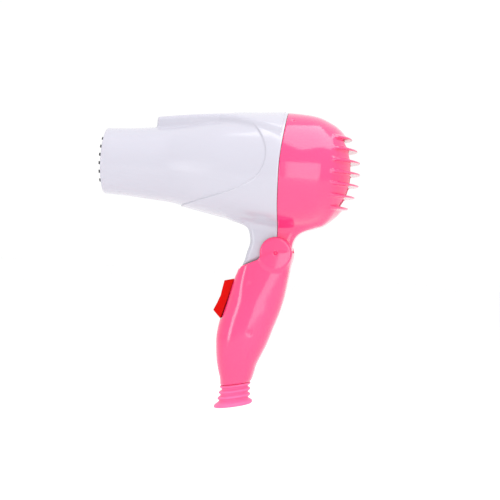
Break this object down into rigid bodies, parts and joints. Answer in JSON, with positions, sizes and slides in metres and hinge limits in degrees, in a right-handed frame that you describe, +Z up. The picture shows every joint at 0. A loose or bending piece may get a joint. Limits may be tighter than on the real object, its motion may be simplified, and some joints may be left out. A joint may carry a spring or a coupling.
{
  "type": "travel hair dryer",
  "caption": "Small folding hair dryer: white tapered barrel, finned pink rear cap, pink handle with a red rocker switch and a ribbed cord boot, hinged to fold under the barrel.",
  "frame": {"origin": "inside the handle at its upper third, where a hand closes round it", "axes": "+Z up with the handle below and the barrel above, nozzle towards -X, hinge pin along Y"},
  "size_m": [0.1606, 0.072, 0.1863],
  "materials": {
    "white_gloss": "glossy white moulded plastic",
    "pink_gloss": "glossy pink moulded plastic",
    "red_gloss": "glossy red moulded plastic",
    "pink_soft": "soft pink vinyl",
    "black_plastic": "black heat-resistant plastic",
    "mica": "layered mica sheet",
    "heater_alloy": "resistance wire",
    "steel": "plated steel",
    "brass": "stamped brass",
    "wire_cover": "insulated lead",
    "board": "circuit board"
  },
  "bodies": {
    "handle": {"handle_left_shell": "pink_gloss", "handle_right_shell": "pink_gloss", "handle_screw_upper": "steel", "handle_screw_lower": "steel", "hinge_pin": "steel", "hinge_washer_left": "steel", "hinge_washer_right": "steel", "switch_body": "black_plastic", "switch_terminal_1": "brass", "switch_terminal_2": "brass", "switch_terminal_3": "brass", "cord_boot": "pink_soft", "cord_clamp": "black_plastic", "clamp_screw_front": "steel", "clamp_screw_rear": "steel", "lead_live": "wire_cover", "lead_neutral": "wire_cover"},
    "barrel": {"front_shell": "white_gloss", "rear_shell": "pink_gloss", "outlet_grille": "black_plastic", "mica_sleeve": "mica", "element_board_upright": "mica", "element_board_flat": "mica", "heater_coil_front": "heater_alloy", "heater_coil_rear": "heater_alloy", "thermostat": "brass", "thermal_fuse": "steel", "motor_can": "steel", "motor_end_cap": "black_plastic", "rectifier_board": "board", "motor_mount": "black_plastic"},
    "fan": {"motor_shaft": "steel", "impeller": "black_plastic"},
    "rocker": {"rocker": "red_gloss"}
  },
  "joints": [
    {"name": "fold", "type": "hinge", "parent": "handle", "child": "barrel", "pos_m": [0.016, 0, 0.045], "axis": [0, -1, 0], "range_deg": [0, 60]},
    {"name": "fan_spin", "type": "hinge", "parent": "barrel", "child": "fan", "pos_m": [0.016, 0, 0.0963], "axis": [1, 0, 0], "continuous": true},
    {"name": "rocker_tilt", "type": "hinge", "parent": "handle", "child": "rocker", "pos_m": [-0.0111, 0, 0.0145], "axis": [0, 1, 0], "range_deg": [-8, 8]}
  ]
}
